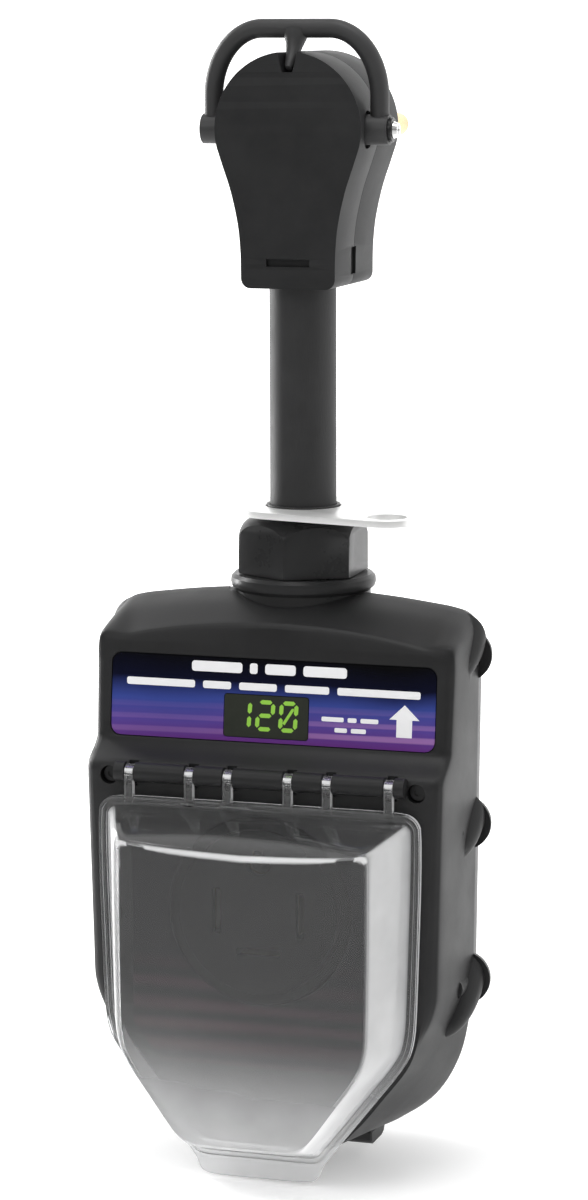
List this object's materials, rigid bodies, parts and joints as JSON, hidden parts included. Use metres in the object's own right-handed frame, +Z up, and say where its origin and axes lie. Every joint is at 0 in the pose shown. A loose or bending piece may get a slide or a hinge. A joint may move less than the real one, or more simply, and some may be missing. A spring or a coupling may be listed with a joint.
{
  "type": "surge protector plug",
  "caption": "Portable surge protector with a plug head and pull bail, a short heavy cable, a lock plate and a hanging case with a flip cover over its outlet.",
  "frame": {"origin": "centre of the plug's raised flat contact face", "axes": "+Y out of the contact face into the socket, +Z up along the plug head, cable and case; the front of the case faces -Y"},
  "size_m": [0.162, 0.1535, 0.4607],
  "materials": {
    "moulded_black": "satin moulded plastic with a fine grain",
    "gloss_black": "polished black moulding",
    "cable_rubber": "matte black elastomer",
    "polished_steel": "polished stainless steel",
    "brass": "bright drawn brass",
    "wire_insulation": "extruded insulation",
    "clear_cover": "clear polished moulding",
    "label_print": "printed overlay, dark blue to purple",
    "smoked_window": "smoked clear window",
    "circuit_board": "green solder mask",
    "relay_case": "grey moulding",
    "thermoset": "dark thermoset moulding"
  },
  "bodies": {
    "case": {"bail_pivot_screw": "polished_steel", "bail_pivot_stud": "polished_steel", "bail_pivot_washer": "gloss_black", "cable_jacket": "cable_rubber", "case_back": "moulded_black", "case_front": "moulded_black", "case_gasket": "cable_rubber", "case_screw_1": "polished_steel", "case_screw_2": "polished_steel", "case_screw_3": "polished_steel", "case_screw_4": "polished_steel", "case_screw_5": "polished_steel", "case_screw_6": "polished_steel", "conductor_ground": "wire_insulation", "conductor_line_1": "wire_insulation", "conductor_line_2": "wire_insulation", "conductor_neutral": "wire_insulation", "contactor_1": "relay_case", "contactor_2": "relay_case", "control_board": "circuit_board", "cover_gasket": "cable_rubber", "display_module": "thermoset", "display_window": "smoked_window", "foot_left": "cable_rubber", "foot_right": "cable_rubber", "gland_body": "gloss_black", "gland_locknut": "moulded_black", "gland_nut": "gloss_black", "gland_seal": "cable_rubber", "ground_pin": "brass", "head_back_shell": "moulded_black", "head_cable_clamp": "thermoset", "head_front_shell": "moulded_black", "head_screw_1": "polished_steel", "head_screw_2": "polished_steel", "head_screw_3": "polished_steel", "head_screw_4": "polished_steel", "head_terminal_block": "thermoset", "hinge_pin": "polished_steel", "label_overlay": "label_print", "line_blade_lower": "brass", "line_blade_upper": "brass", "neutral_blade": "brass", "outlet_bezel": "thermoset", "outlet_body": "thermoset", "outlet_contact_ground": "brass", "outlet_contact_line_1": "brass", "outlet_contact_line_2": "brass", "outlet_contact_neutral": "brass", "outlet_label": "label_print", "panel_screw_left": "gloss_black", "panel_screw_right": "gloss_black", "power_transformer": "relay_case", "surge_module": "thermoset"},
    "bail": {"bail_handle": "gloss_black"},
    "cover": {"outlet_cover": "clear_cover"},
    "bush": {"lock_plate_bush": "cable_rubber"},
    "lock_plate": {"lock_plate": "polished_steel"}
  },
  "joints": [
    {"name": "bail", "type": "hinge", "parent": "case", "child": "bail", "pos_m": [0, -0.046, 0], "axis": [1, 0, 0], "range_deg": [0, 115]},
    {"name": "cover", "type": "hinge", "parent": "case", "child": "cover", "pos_m": [0, -0.097, -0.254], "axis": [-1, 0, 0], "range_deg": [0, 110]},
    {"name": "lock_slide", "type": "slide", "parent": "case", "child": "bush", "axis": [0, 0, 1], "range_m": [0, 0.08]},
    {"name": "lock_spin", "type": "hinge", "parent": "bush", "child": "lock_plate", "pos_m": [0, -0.038, -0.1531], "axis": [0, 0, 1], "continuous": true}
  ]
}
